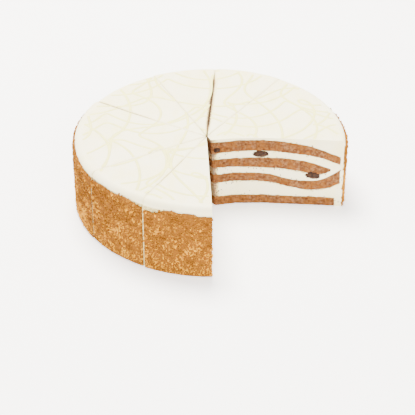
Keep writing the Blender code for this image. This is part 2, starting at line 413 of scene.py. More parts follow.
def hole(spot, cell, radius, kept):
    """1 at the middle of a round hole, 0 outside. Holes lie one to a cell, and a share is kept."""
    distances, centres = noise.voronoi(spot / cell)
    if noise.cell(centres[0] * 7.3) % 1.0 > kept:
        return 0.0
    return eased(1.0 - distances[0] * cell / radius)


def sponge_relief(across, up, seed):
    spot = Vector((across, up, seed))
    large = hole(spot, **LARGE_HOLES)
    small = hole(spot + Vector((40, 9, 3)), **SMALL_HOLES)
    stand_out = lumpy(spot, SPONGE_LUMPS) - large - SMALL_HOLE_DEPTH * small
    return stand_out, min(large + 0.5 * small, 1.0)


def cream_relief(across, up, seed):
    drag = lumpy(Vector((across / CREAM_STRETCH, up, seed)), CREAM_LUMPS)
    bubble = hole(Vector((across, up, seed + 50)), **BUBBLES)
    return drag - BUBBLE_DEPTH * bubble, 0.5 * bubble


def tip_shade(portion, radius):
    """How much painted shade darkens the inner corner towards the tip of a portion with an open face."""
    if not portion.open_side:
        return 0.0
    return TIP_SHADE * eased(1.45 - radius / TIP_SHADE_REACH)


def crumb_smear_and_tip_shade(portion, radius, height):
    """How much brown crumb the knife has smeared over the cream at a place on an open face. Near the tip it
    also paints the shade of the inner corner.
    """
    spot = Vector((radius, height, 3.0 * portion.number))
    patchy = 0.5 + lumpy(spot, SMEAR_LUMPS)
    # real crumb smear at the tip, strengthened into painted shade of the inner corner
    tip_smear_and_shade = eased(1.6 - radius / TIP_SMEAR_REACHES[portion.number])
    near_sponge = math.exp(-max(filling_of(radius, height), 0.0) / SPONGE_SMEAR_REACH)
    smear = tip_smear_and_shade * (TIP_SMEAR_AND_SHADE + TIP_SMEAR_PATCHES * patchy) + SPONGE_SMEAR * near_sponge * patchy
    return min(max(smear, 0.0), 1.0)


# Meshes

SHARP_ANGLE = 35.0
GRID_ROW_SHARE = 0.87
GRID_JOG = 0.18
GRID_CLEARANCE = 0.4


def linked_object(name, data):
    """The object of a mesh, a curve, a light or a camera, in the scene."""
    obj = bpy.data.objects.new(name, data)
    bpy.context.scene.collection.objects.link(obj)
    return obj


def mesh_from(builder, name):
    """The mesh that a builder holds, which ends the builder."""
    mesh = bpy.data.meshes.new(name)
    builder.to_mesh(mesh)
    builder.free()
    return mesh


def dress(piece, slot, *nodes):
    """Puts a finished piece on the cake's body, in place of its solids."""
    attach(piece, BODY)
    if nodes:
        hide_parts(*nodes)


class Shell:
    """Points in millimetres and faces of a mesh in the making, with named values on the points."""

    def __init__(self, value_names=()):
        self.points = []
        self.faces = []
        self.values = {name: [] for name in value_names}

    def add(self, point, **values):
        self.points.append(Vector(point))
        for name, line in self.values.items():
            line.append(values.get(name, 0.0))
        return len(self.points) - 1

    def add_quads(self, rows, closed=False):
        """Faces between rows of point numbers."""
        for near, far in zip(rows, rows[1:]):
            count = len(near) if closed else len(near) - 1
            for k in range(count):
                after = (k + 1) % len(near)
                corners = list(dict.fromkeys((near[k], near[after], far[after], far[k])))
                if len(corners) > 2:
                    self.faces.append(corners)

    def make(self, name, material=None):
        """The object, in metres, with its faces turned outwards."""
        mesh = bpy.data.meshes.new(name)
        mesh.from_pydata([point * MM for point in self.points], [], self.faces)
        for value_name, line in self.values.items():
            attribute = mesh.attributes.new(value_name, "FLOAT", "POINT")
            attribute.data.foreach_set("value", line)
        builder = bmesh.new()
        builder.from_mesh(mesh)
        bmesh.ops.recalc_face_normals(builder, faces=builder.faces)
        builder.to_mesh(mesh)
        builder.free()
        mesh.shade_smooth()
        mesh.set_sharp_from_angle(angle=math.radians(SHARP_ANGLE))
        if material:
            mesh.materials.append(material)
        return linked_object(name, mesh)


def inside_points(outline, step, seed):
    """Places inside a section's outline on an uneven grid, clear of its edge."""
    chance = random.Random(seed)
    ends = list(zip(outline, outline[1:] + outline[:1]))
    low = min(point.y for point in outline)
    high = max(point.y for point in outline)
    places = []
    for row, height in enumerate(evenly(low, high, step * GRID_ROW_SHARE)):
        crossings = []
        for a, b in ends:
            if (a.y > height) != (b.y > height):
                crossings.append(a.x + (height - a.y) / (b.y - a.y) * (b.x - a.x))
        crossings.sort()
        for left, right in zip(crossings[::2], crossings[1::2]):
            across = math.ceil(left / step) * step + (0.5 * step if row % 2 else 0.0)
            while across < right - GRID_CLEARANCE * step:
                if across > left + GRID_CLEARANCE * step:
                    jog = chance.uniform(-GRID_JOG, GRID_JOG) * step
                    places.append(Vector((across + jog, height + 0.6 * jog)))
                across += step
    return places


def close_cut_face(shell, portion, side, section, ring, step, relief):
    """Fills a cut face with small triangles and gives it its relief."""
    outline = [Vector((mark[0], shell.points[index].z)) for mark, index in zip(section, ring)]
    inner = inside_points(outline, step, portion.number)
    flat, _edges, triangles, sources, _, holders = delaunay_2d_cdt(
        outline + inner, [], [list(range(len(outline)))], 1, 1e-5, True
    )
    triangles = [triangle for triangle, holder in zip(triangles, holders) if holder]
    numbers = []
    for place, source in zip(flat, sources):
        first = source[0] if source else len(outline)
        if first < len(outline):
            numbers.append(ring[first])
            continue
        spot = portion.flat_place(place.x, portion.side_angle(side), place.y)
        spot += portion.spread(side, place.x)
        spot.z = place.y
        numbers.append(shell.add(spot))
    shell.faces += [[numbers[corner] for corner in triangle] for triangle in triangles]
    if side != portion.open_side:
        return
    for (radius, height), index in set((tuple(place), index) for place, index in zip(flat, numbers)):
        stand_out, hollow = relief(radius, height, 10.0 * portion.number)
        fade = min(radius / FACE_FADE_REACH, 1.0)
        shell.points[index] += portion.outward(side) * stand_out * fade
        # painted shade: hole depth and the open tip's inner corner, darkened by the materials
        shell.values["hollow"][index] = max(hollow * fade, tip_shade(portion, radius))
        shell.values["smear"][index] = crumb_smear_and_tip_shade(portion, radius, height)


def swept_piece(name, portion, section, material, relief, shape_point=None):
    """A section swept from one cut face of a portion to the other, closed by both cut faces."""
    shell = Shell(("hollow", "smear"))
    angles = portion.rays()
    rings = []
    for column, angle in enumerate(angles):
        side = {0: "start", len(angles) - 1: "end"}.get(column)
        ring = []
        for row, mark in enumerate(section):
            if mark[0] == 0.0 and rings:
                ring.append(rings[0][row])
                continue
            place = portion.place(mark, angle, side)
            smear = 0.0
            if shape_point:
                place, smear = shape_point(portion, mark, angle, place)
            # painted shade: points near an open tip darken as the shaded inner corner
            ring.append(shell.add(place, smear=smear, hollow=tip_shade(portion, mark[0])))
        rings.append(ring)
    shell.add_quads(rings, closed=True)
    for side, ring in (("start", rings[0]), ("end", rings[-1])):
        step = OPEN_FACE_STEP if side == portion.open_side else HIDDEN_FACE_STEP
        close_cut_face(shell, portion, side, section, ring, step, relief)
    return shell.make(name, material)


def shape_cream(portion, mark, angle, place):
    """The cream's top swells, its drop at each cut, its bulge at the seams of the side, and its stain."""
    radius, height, tag = mark
    stain = 0.0
    if tag or height < 1.0:
        return place, stain
    reach = radius * portion.ray_length(angle) / CREAM_RADIUS
    to_cut = portion.cut_distance(reach, angle)
    nearer = "start" if angle - portion.start < portion.end - angle else "end"
    at_cut = nearer != portion.open_side
    if height > NUT_COAT_HEIGHT:
        on_top = eased((height - NUT_COAT_HEIGHT) / TOP_EDGE_BLEND)
        place.z += on_top * top_unevenness(place)
        if at_cut:
            place.z -= on_top * CUT_EDGE_DROP * math.exp(-to_cut / CUT_EDGE_REACH)
            opening = straight_value(CUT_OPENINGS[portion.cut_on(nearer)], reach)
            strength = LEAST_STAIN + STAIN_FOR_OPENING * opening**4
            stain = strength * on_top * math.exp(-to_cut / CUT_STAIN_REACH)
    elif radius == CREAM_RADIUS and at_cut:
        bulge = SEAM_BULGE * (1.0 - eased(to_cut / SEAM_REACH))
        bulge *= eased((NUT_COAT_HEIGHT - height) / WALL_EDGE_BLEND) * eased(height / WALL_EDGE_BLEND)
        place += flat_direction(math.atan2(place.y, place.x)) * bulge
        stain = SEAM_STAINS[portion.cut_on(nearer)]
    return place, stain


# Nodes


class Wire:
    """A socket's output. Python's operators on it add Math nodes."""

    def __init__(self, nodes, socket):
        self.nodes = nodes
        self.socket = socket

    def maths(self, operation, first, second):
        return self.nodes.add("ShaderNodeMath", {"operation": operation}, {0: first, 1: second})

    def __add__(self, other):
        return self.maths("ADD", self, other)

    def __radd__(self, other):
        return self.maths("ADD", other, self)

    def __sub__(self, other):
        return self.maths("SUBTRACT", self, other)

    def __mul__(self, other):
        return self.maths("MULTIPLY", self, other)

    def __rmul__(self, other):
        return self.maths("MULTIPLY", other, self)

    def clamped(self):
        settings = {"operation": "ADD", "use_clamp": True}
        return self.nodes.add("ShaderNodeMath", settings, {0: self, 1: 0.0})


class Nodes:
    """A node tree in the making."""

    def __init__(self, tree):
        self.tree = tree

    def add(self, kind, settings=None, inputs=None, output=0):
        """Any node: its settings are set first, then its sockets get values or links."""
        node = self.tree.nodes.new(kind)
        for name, value in (settings or {}).items():
            if name == "stops":
                self.set_stops(node.color_ramp, value)
            else:
                setattr(node, name, value)
        for name, value in (inputs or {}).items():
            self.feed(node.inputs[name], value)
        return Wire(self, node.outputs[output])

    @staticmethod
    def set_stops(ramp, stops):
        while len(ramp.elements) < len(stops):
            ramp.elements.new(1.0)
        for element, (position, colour) in zip(ramp.elements, stops):
            element.position = position
            element.color = (*colour, 1.0)

    def feed(self, socket, value):
        if isinstance(value, Wire):
            self.tree.links.new(value.socket, socket)
        elif socket.type == "RGBA" and len(value) == 3:
            socket.default_value = (*value, 1.0)
        else:
            socket.default_value = value


class Paint(Nodes):
    """One material in the making: a Principled shader and the nodes that feed it."""

    def __init__(self, name, roughness, **constants):
        self.material = bpy.data.materials.new(name)
        self.material.use_nodes = True
        super().__init__(self.material.node_tree)
        self.shader = self.tree.nodes["Principled BSDF"]
        self.set("Roughness", roughness)
        for socket, value in constants.items():
            self.set(socket.replace("_", " "), value)
        self.place = self.add("ShaderNodeTexCoord", output="Object")

    def set(self, socket, value):
        self.feed(self.shader.inputs[socket], value)

    def grain(self, size, detail=2.0, stretch=(1.0, 1.0, 1.0), roughness=0.5):
        """Noise from 0 to 1 with lumps of a size in millimetres."""
        place = self.add("ShaderNodeMapping", None, {"Vector": self.place, "Scale": stretch})
        inputs = {"Vector": place, "Scale": 1.0 / (size * MM), "Detail": detail, "Roughness": roughness}
        return self.add("ShaderNodeTexNoise", None, inputs)

    def value_of(self, name):
        """A value that the mesh holds on its points."""
        return self.add("ShaderNodeAttribute", {"attribute_name": name}, output="Fac")

    def ramp(self, factor, *stops):
        return self.add("ShaderNodeValToRGB", {"stops": stops}, {"Fac": factor})

    def step(self, factor, low, high):
        """0 below low, 1 above high."""
        inputs = {"Value": factor, "From Min": low, "From Max": high}
        return self.add("ShaderNodeMapRange", {"interpolation_type": "SMOOTHSTEP"}, inputs)

    def spots(self, size, detail, low, high, stretch=(1.0, 1.0, 1.0)):
        """1 in spots of a size in millimetres, 0 between them."""
        return self.step(self.grain(size, detail, stretch), low, high)

    def mix(self, factor, first, second):
        """A colour between two colours, on the colour sockets of the Mix node."""
        return self.add("ShaderNodeMix", {"data_type": "RGBA"}, {0: factor, 6: first, 7: second}, output=2)

    def bump(self, height, distance):
        """Fine relief with a depth in millimetres."""
        self.set("Normal", self.add("ShaderNodeBump", None, {"Distance": distance * MM, "Height": height}))


class GeometryTree(Nodes):
    """A Geometry Nodes tree in the making."""

    def __init__(self, name):
        super().__init__(bpy.data.node_groups.new(name, "GeometryNodeTree"))
        for way in ("INPUT", "OUTPUT"):
            self.tree.interface.new_socket("Geometry", in_out=way, socket_type="NodeSocketGeometry")
        self.group_in = self.tree.nodes.new("NodeGroupInput")
        self.group_out = self.tree.nodes.new("NodeGroupOutput")
        self.geometry = Wire(self, self.group_in.outputs["Geometry"])

    def input(self, name, kind="NodeSocketFloat"):
        """A named input of the modifier."""
        self.tree.interface.new_socket(name, in_out="INPUT", socket_type=kind)
        return Wire(self, self.group_in.outputs[name])

    def random(self, low, high, seed, kind="FLOAT"):
        """A random value for each point."""
        node = self.tree.nodes.new("FunctionNodeRandomValue")
        node.data_type = kind
        inputs = {socket.name: socket for socket in node.inputs if socket.enabled}
        for name, value in (("Min", low), ("Max", high), ("Seed", seed)):
            inputs[name].default_value = value
        return Wire(self, next(socket for socket in node.outputs if socket.enabled))

    def finish(self, geometry, material):
        """Every tree ends in real mesh with its material."""
        real = self.add("GeometryNodeRealizeInstances", None, {0: geometry})
        painted = self.add("GeometryNodeSetMaterial", None, {"Geometry": real, "Material": material})
        self.feed(self.group_out.inputs[0], painted)
        return self.tree


# Materials

# Spots of another colour in the crumb: (colour, strength, size, detail, low, high, stretch)
SPONGE_SPOTS = (
    ("warm_colour", 0.6, 10.0, 2.0, 0.42, 0.58, (1.0, 1.0, 1.0)),
    ("carrot_colour", 0.7, 3.2, 1.0, 0.66, 0.72, (0.6, 0.6, 1.6)),
    ("fleck_colour", 0.6, 1.9, 3.0, 0.60, 0.70, (1.0, 1.0, 1.0)),
)

# Darker spots on a nut: (strength, size, detail, low, high)
NUT_SPOTS = ((0.4, 1.2, 3.0, 0.45, 0.7), (0.55, 9.0, 3.0, 0.42, 0.62))
# painted shade: darker towards the top, standing in for the floor's light on the lower coat
NUT_UPWARD_SHADE, NUT_UPWARD_SHADE_HEIGHTS = 0.4, (0.012, 0.056)
CREAM_STREAK = (1.0, 0.5, 1.0)
CREAM_SCATTER, CREAM_SCATTER_RADIUS, CREAM_SCATTER_DEPTH = 0.12, (1.0, 0.85, 0.6), 2.0


def sponge_material(settings):
    paint = Paint("sponge_crumb", 0.92, Specular_IOR_Level=0.06)
    crumb = paint.grain(2.6, 4.0, roughness=0.6)
    colour = paint.mix(paint.step(crumb, 0.36, 0.64), settings.deep_colour, settings.light_colour)
    for name, strength, *spots in SPONGE_SPOTS:
        colour = paint.mix(paint.spots(*spots) * strength, colour, getattr(settings, name))
    # painted shade: small pits and the hollow value darken the crumb towards the colour of shade in the
    # holes
    shaded_pits = paint.spots(1.1, 2.0, 0.60, 0.72)
    hollow = (paint.value_of("hollow") * 0.75 + shaded_pits * 0.5).clamped()
    colour = paint.mix(hollow, colour, settings.hole_shade_colour)
    paint.set("Base Color", colour)
    paint.bump(crumb * 0.6 + paint.grain(0.9, 3.0) * 0.5 - shaded_pits * 0.5, 0.55)
    return paint.material


def cream_material(settings, sponge):
    paint = Paint("whipped_cream", 0.5, Specular_IOR_Level=0.3)
    drift = paint.grain(26.0, 3.0)
    fine = paint.grain(3.0, 3.0)
    streaks = paint.spots(13.0, 2.0, 0.46, 0.66, CREAM_STREAK)
    warmth = paint.step(drift, 0.35, 0.65) * 0.4 + streaks * 0.5
    colour = paint.mix(warmth, settings.colour, settings.warm_colour)
    smear = (paint.value_of("smear") * (0.82 + 0.45 * paint.spots(1.5, 3.0, 0.35, 0.62))).clamped()
    # the last stop is painted shade: dark crumb in the shaded inner corner at the open tip
    stops = (0.3, settings.smear_colour), (0.7, sponge.light_colour), (0.9, settings.shaded_crumb_colour)
    colour = paint.mix(paint.step(smear, 0.0, 0.45), colour, paint.ramp(smear, *stops))
    # painted shade in the air bubbles and towards the open tip's inner corner
    colour = paint.mix(paint.value_of("hollow") * 0.35, colour, settings.shade_colour)
    paint.set("Base Color", colour)
    paint.set("Roughness", 0.44 + 0.16 * fine)
    paint.set("Subsurface Weight", CREAM_SCATTER)
    paint.set("Subsurface Radius", CREAM_SCATTER_RADIUS)
    paint.set("Subsurface Scale", CREAM_SCATTER_DEPTH * MM)
    paint.bump(fine * 0.6 + drift * 0.8, 0.22)
    return paint.material


def nut_material(name, light, dark):
    """Chopped bits: each takes its own shade, with darker spots, and painted shade darkens them a little
    towards the top, as if the lower coat were lit from the floor.
    """
    paint = Paint(name, 0.8, Specular_IOR_Level=0.08)
    colour = paint.mix(paint.value_of("shade"), dark, light)
    for strength, *spots in NUT_SPOTS:
        colour = paint.mix(paint.spots(*spots) * strength, colour, dark)
    # painted shade: the bits darken with height, as if lit from the floor below
    height = paint.add("ShaderNodeSeparateXYZ", None, {"Vector": paint.place}, output=2)
    upward_shade = paint.step(height, *NUT_UPWARD_SHADE_HEIGHTS)
    colour = paint.mix(upward_shade * NUT_UPWARD_SHADE, colour, dark)
    paint.set("Base Color", colour)
    paint.bump(paint.grain(0.5, 2.0), 0.12)
    return paint.material


def plain_material(name, colour, deeper, grain_size, roughness, relief, shine=0.1):
    paint = Paint(name, roughness, Specular_IOR_Level=shine)
    grain = paint.grain(grain_size, 3.0)
    paint.set("Base Color", paint.mix(paint.step(grain, 0.35, 0.65), colour, deeper))
    paint.bump(grain, relief)
    return paint.material


# Settings that a user would change


def colour_property(name, description, colour):
    return bpy.props.FloatVectorProperty(
        name=name, description=description, default=colour, subtype="COLOR", min=0.0, max=1.0
    )


def number_property(name, description, value, **options):
    return bpy.props.FloatProperty(name=name, description=description, default=value, **options)


def length_property(name, description, millimetres):
    return number_property(name, description, millimetres * MM, min=0.0, unit="LENGTH", precision=4)


class SpongeSettings(bpy.types.PropertyGroup):
    """Colours of the four sponges."""

    light_colour: colour_property("Crumb", "Light crumb of the sponge", (0.253, 0.117, 0.047))
    deep_colour: colour_property("Deep crumb", "Darker crumb of the sponge", (0.112, 0.041, 0.013))
    warm_colour: colour_property("Warm crumb", "Slow golden drift in the crumb", (0.210, 0.074, 0.012))
    carrot_colour: colour_property("Carrot", "Shreds of carrot in the crumb", (0.34, 0.10, 0.014))
    fleck_colour: colour_property("Flecks", "Darker bits in the crumb", (0.095, 0.028, 0.009))
    # painted shade: the colour that the holes and the open tip's inner corner darken to
    hole_shade_colour: colour_property("Holes", "Depth of the holes", (0.060, 0.019, 0.008))


class CreamSettings(bpy.types.PropertyGroup):
    """Colours of the whipped cream and its drizzle."""

    colour: colour_property("Cream", "Cream in full light", (0.95, 0.875, 0.61))
    warm_colour: colour_property("Warm cream", "Slow warm drift in the cream", (0.94, 0.85, 0.46))
    smear_colour: colour_property("Smear", "Cream with a little crumb in it", (0.70, 0.60, 0.24))
    # painted shade: dark crumb for the shaded inner corner at the open tip
    shaded_crumb_colour: colour_property("Gap", "Dark crumb deep in an open cut", (0.075, 0.05, 0.022))
    # painted shade: the colour that the bubbles and the open tip darken to
    shade_colour: colour_property("Bubbles", "Depth of the air bubbles", (0.66, 0.52, 0.34))
    drizzle_colour: colour_property("Drizzle", "Thin pale drizzle", (0.90, 0.84, 0.30))
    drizzle_width: length_property("Drizzle width", "Width of the drizzle's thread", 2.3)


class NutSettings(bpy.types.PropertyGroup):
    """The chopped nuts on the side."""

    pale_colour: colour_property("Pale", "Palest chopped nuts", (0.61, 0.305, 0.020))
    golden_colour: colour_property("Golden", "Toasted chopped nuts", (0.56, 0.238, 0.013))
    brown_colour: colour_property("Brown", "Darkest toasted nuts", (0.21, 0.074, 0.006))
    # partly painted shade: the ground nuts are kept dark so the gaps between the pieces read as shaded
    ground_nut_and_gap_shade_colour: colour_property("Ground nuts", "Fine ground nuts between the pieces", (0.21, 0.079, 0.007))
    spacing: length_property("Spacing", "Least distance between two pieces", 1.45)
    piece_size: length_property("Piece size", "Mean length of a piece", 2.25)
    seed: bpy.props.IntProperty(name="Seed", description="Seed of the scatter", default=4, min=0)


class StageSettings(bpy.types.PropertyGroup):
    """The floor, the lights and the camera."""

    floor_colour: colour_property("Floor", "Plain pale floor", (0.93, 0.915, 0.895))
    elevation: number_property("Elevation", "Camera above the floor", math.radians(34.36), subtype="ANGLE")
    roll: number_property("Roll", "Camera's roll", math.radians(0.15), subtype="ANGLE")
    distance: length_property("Distance", "From the cake's base to the camera", 1200.0)
    key_power: number_property("Key light", "Power of the main light", 195.0, min=0.0, unit="POWER")
    fill_power: number_property("Fill light", "Power of the fill light", 38.0, min=0.0, unit="POWER")
    sky: number_property("Room light", "Brightness of the room around", 1.7, min=0.0)


SETTINGS = {
    "cake_sponge": SpongeSettings,
    "cake_cream": CreamSettings,
    "cake_nuts": NutSettings,
    "cake_stage": StageSettings,
}


# Scattered bits

BIT_UNEVENNESS = (0.72, 1.18)
BIT_SPREAD = (0.45, 1.6)
MOST_BITS_PER_SQUARE_METRE = 2.0e6
PATCHES_PER_METRE = 105.0
LOT_CHANCE = (-0.03, 0.57)
# painted light: darker kinds of bit higher up, paler ones near the floor
LOT_PATCHES, LOT_SHADE_PER_METRE = 1.8, 8.0
LEAST_LOT, MOST_LOT, LAST_LOT = 0.83, 2.03, 0.999
LOT_SEED, TURN_SEED, SPREAD_SEED, SHADE_SEED = 11, 12, 13, 14


def make_bit(name, seed, proportions):
    """A small chopped bit about one unit long, with broken corners."""
    chance = random.Random(seed)
    builder = bmesh.new()
    bmesh.ops.create_icosphere(builder, subdivisions=1, radius=0.5)
    for vert in builder.verts:
        vert.co *= chance.uniform(*BIT_UNEVENNESS)
        vert.co = Vector(co * share for co, share in zip(vert.co, proportions))
    return linked_object(name, mesh_from(builder, name))


def patchy_lot(nodes):
    """A number from 0 to 1 for each bit. Neighbours tend to be alike, and it rises a little with height, a
    painted shade that keeps the paler kinds low, as if lit from the floor.
    """
    place = nodes.add("GeometryNodeInputPosition")
    inputs = {"Vector": place, "Scale": PATCHES_PER_METRE, "Detail": 1.0}
    patches = nodes.add("ShaderNodeTexNoise", None, inputs)
    height = nodes.add("ShaderNodeSeparateXYZ", None, {"Vector": place}, output=2)
    lot = nodes.random(*LOT_CHANCE, LOT_SEED) + patches * LOT_PATCHES + height * LOT_SHADE_PER_METRE
    inputs = {"Value": lot, "From Min": LEAST_LOT, "From Max": MOST_LOT, "To Max": LAST_LOT}
    return nodes.add("ShaderNodeMapRange", None, inputs)


def scatter_tree(shapes):
    """Bits on a guide surface, as dense as its "cover" value says, of one share of all bits."""
    nodes = GeometryTree("scatter_bits")
    spacing, size, share_from, share_to = map(nodes.input, ("Spacing", "Size", "Share From", "Share To"))
    seed = nodes.input("Seed", "NodeSocketInt")
    material = nodes.input("Material", "NodeSocketMaterial")
    cover = nodes.add("GeometryNodeInputNamedAttribute", None, {"Name": "cover"})
    points = nodes.add("GeometryNodeDistributePointsOnFaces", {"distribute_method": "POISSON"}, {
        "Mesh": nodes.geometry, "Distance Min": spacing, "Density Max": MOST_BITS_PER_SQUARE_METRE,
        "Density Factor": cover, "Seed": seed,
    })
    lot = patchy_lot(nodes)
    early = nodes.add("FunctionNodeCompare", {"operation": "LESS_THAN"}, {"A": lot, "B": share_from})
    late = nodes.add("FunctionNodeCompare", {"operation": "GREATER_EQUAL"}, {"A": lot, "B": share_to})
    other_kind = nodes.add("FunctionNodeBooleanMath", {"operation": "OR"}, {0: early, 1: late})
    points = nodes.add("GeometryNodeDeleteGeometry", None, {"Geometry": points, "Selection": other_kind})
    bits = nodes.tree.nodes.new("GeometryNodeJoinGeometry")
    for shape in shapes:
        inputs = {"Object": shape, "As Instance": True}
        nodes.feed(bits.inputs[0], nodes.add("GeometryNodeObjectInfo", None, inputs, "Geometry"))
    turn = nodes.random((0.0,) * 3, (math.tau,) * 3, TURN_SEED, "FLOAT_VECTOR")
    placed = nodes.add("GeometryNodeInstanceOnPoints", None, {
        "Points": points, "Instance": Wire(nodes, bits.outputs[0]), "Pick Instance": True,
        "Rotation": turn, "Scale": size * nodes.random(*BIT_SPREAD, SPREAD_SEED),
    })
    inputs = {"Geometry": placed, "Name": "shade", "Value": nodes.random(0.0, 1.0, SHADE_SEED)}
    shaded = nodes.add("GeometryNodeStoreNamedAttribute", {"domain": "INSTANCE"}, inputs)
    return nodes.finish(shaded, material)


def run_tree(name, guide, tree, values):
    """A plain mesh object from a tree run on a guide object, which stays as it was."""
    modifier = guide.modifiers.new(tree.name, "NODES")
    modifier.node_group = tree
    for item in tree.interface.items_tree:
        if item.in_out == "INPUT" and item.name in values:
            modifier[item.identifier] = values[item.name]
    bpy.context.view_layer.update()
    evaluated = guide.evaluated_get(bpy.context.evaluated_depsgraph_get())
    mesh = bpy.data.meshes.new_from_object(evaluated)
    guide.modifiers.remove(modifier)
    mesh.name = name
    return linked_object(name, mesh)


def scatter(name, guide, tree, spacing, size, shares, seed, material):
    """The bits of one share of the scatter, as a plain mesh object."""
    values = {"Spacing": spacing, "Size": size, "Seed": seed, "Material": material}
    values["Share From"], values["Share To"] = shares
    return run_tree(name, guide, tree, values)


def remove_objects(objects):
    for obj in objects:
        bpy.data.objects.remove(obj, do_unlink=True)


# The nut coat

NUT_WALL_RADIUS = 118.5
NUT_GUIDE_RADIUS = 118.75
NUT_EDGE_LOWERING = 0.7
NUT_EDGE_WOBBLE = 1.1
NUT_WALL_DEPTH = 0.6
NUT_EDGE_LUMPS = ((1.0, 7.0), (0.5, 2.5))
NUT_WALL_LUMPS = ((0.3, 2.4),)
NUT_EDGE_RISE = (
    (-10, 2.4), (20, 2.6), (34, 1.0), (48, 0.2), (90, -0.5), (140, 0.2), (153, 1.6), (166, 2.8), (195, 1.8),
    (213, -0.6), (219, 1.1), (224, 0.0), (230, 1.4), (235, 1.4), (239, -1.2), (243, -3.0), (247, -3.2),
    (250, -1.2), (254, 1.6), (258, 0.4), (264, 0.2), (268, -1.4), (272, -1.0),
)
NUT_ROW_STEP = 2.0
NUT_RAY_STEP = 1.0
NUT_GUIDE_STEP = 1.5
OPEN_EDGE_STEP = 4.0

# The last pieces climb a little over the edge: (above the edge, outside the cream, cover)
ROWS_OVER_EDGE = ((0.5, 0.4, 0.4), (1.6, 0.1, 0.02), (3.0, -0.1, 0.0))
FIRST_EDGE_ANGLE = NUT_EDGE_RISE[0][0]


def nut_edge(angle):
    """Height of the nut coat's uneven upper edge."""
    spot = Vector((math.cos(angle), math.sin(angle), 0.0)) * CREAM_RADIUS
    rise = smooth_value(NUT_EDGE_RISE, (math.degrees(angle) - FIRST_EDGE_ANGLE) % 360.0 + FIRST_EDGE_ANGLE)
    return NUT_COAT_HEIGHT - NUT_EDGE_LOWERING + rise + NUT_EDGE_WOBBLE * lumpy(spot, NUT_EDGE_LUMPS)


def coat_angles(portion, step):
    """Rays of the nut coat: it ends a little before a closed cut, where cream shows at the seam."""
    margins = {side: SEAM_MARGINS[portion.cut_on(side)] / CREAM_RADIUS for side in ("start", "end")}
    margins[portion.open_side] = 0.0
    return evenly(portion.start + margins["start"], portion.end - margins["end"], math.radians(step))


def rim_place(portion, radius, angle, height):
    """A place on the coat or an open face, where the layers' waves don't reach."""
    place = portion.flat_place(radius, angle, height)
    place.z = height
    return place


def nut_wall(portion, material):
    """The layer of ground nuts that the pieces sit in."""
    shell = Shell()
    inner = CREAM_RADIUS - NUT_WALL_DEPTH
    rings = []
    for angle in coat_angles(portion, NUT_RAY_STEP):
        edge = nut_edge(angle)
        ring = [shell.add(rim_place(portion, inner, angle, 0.0))]
        for height in evenly(0.0, NUT_COAT_HEIGHT, NUT_ROW_STEP):
            level = height * edge / NUT_COAT_HEIGHT
            spot = rim_place(portion, NUT_WALL_RADIUS, angle, level)
            radius = NUT_WALL_RADIUS + lumpy(spot, NUT_WALL_LUMPS)
            ring.append(shell.add(rim_place(portion, radius, angle, level)))
        ring.append(shell.add(rim_place(portion, inner, angle, edge + 0.3)))
        rings.append(ring)
    shell.add_quads(rings, closed=True)
    shell.faces += [rings[0], rings[-1]]
    return shell.make(f"nut_wall_{portion.number}", material)


def nut_guide():
    """The surface on which the nut pieces are scattered, with the cover that each place gets."""
    shell = Shell(("cover",))
    for portion in PORTIONS:
        rows = []
        for angle in coat_angles(portion, NUT_GUIDE_STEP):
            edge = nut_edge(angle)
            levels = [(h * (edge - 0.4), NUT_GUIDE_RADIUS, 1.0) for h in evenly(0.024, 1.0, 0.1)]
            levels += [(edge + up, CREAM_RADIUS + out, cover) for up, out, cover in ROWS_OVER_EDGE]
            rows.append([shell.add(rim_place(portion, r, angle, z), cover=c) for z, r, c in levels])
        shell.add_quads(rows)
        if portion.open_side:
            angle = portion.side_angle(portion.open_side)
            strips = []
            for radius in evenly(CREAM_RADIUS + 0.2, NUT_GUIDE_RADIUS, 1.0):
                heights = evenly(0.8, nut_edge(angle) - 0.5, OPEN_EDGE_STEP)
                strips.append([shell.add(rim_place(portion, radius, angle, z), cover=1.0) for z in heights])
            shell.add_quads(strips)
    return shell.make("nut_guide")


# The drizzle

DRIZZLE_RIM = 111.0
DRIZZLE_SEED = 6
DRIZZLE_FLATNESS = 0.16
THREAD_STEP = 0.004
THREAD_RUN = 2.1
THREAD_DRIFT = 5.0
THREAD_WAVES = (1.6, 3.4)
THREAD_LOOPS = (0.2, 1.3)
CUT_CLEARANCE = 0.5

# The thread's ways over the cake: (direction in degrees, sweeps, swing)
DRIZZLE_WAYS = ((8.0, 10, 12.0), (97.0, 9, 11.0), (52.0, 5, 16.0))


def drizzle_threads():
    """The paths of one thread swung to and fro over the cake in loops, as lists of places in plan."""
    chance = random.Random(DRIZZLE_SEED)
    threads = []
    for turn, sweeps, swing in DRIZZLE_WAYS:
        along = flat_direction(math.radians(turn))
        across = flat_direction(math.radians(turn + 90.0))
        for sweep in range(sweeps):
            offset = (sweep + 0.5 - sweeps / 2) * 2 * CREAM_RADIUS / sweeps
            offset += chance.uniform(-THREAD_DRIFT, THREAD_DRIFT)
            waves = chance.uniform(*THREAD_WAVES)
            phase = chance.uniform(0.0, math.tau)
            loop = chance.uniform(*THREAD_LOOPS)
            path = []
            for t in evenly(0.0, 1.0, THREAD_STEP):
                turn_now = phase + math.tau * waves * t
                run = (t - 0.5) * THREAD_RUN * CREAM_RADIUS + loop * swing * math.cos(turn_now)
                side = offset + swing * math.sin(turn_now)
                path.append(along * run + across * side)
            threads.append(path)
    return threads


def portion_under(place):
    """The portion that a place in plan lies on, clear of its cuts, or None."""
    for portion in PORTIONS:
        run = place - portion.tip
        angle = math.atan2(run.y, run.x)
        while angle < portion.start:
            angle += math.tau
        on_portion = angle < portion.end and place.length < DRIZZLE_RIM
        if on_portion and portion.cut_distance(run.length, angle) > CUT_CLEARANCE:
            return portion, run.length, angle
    return None


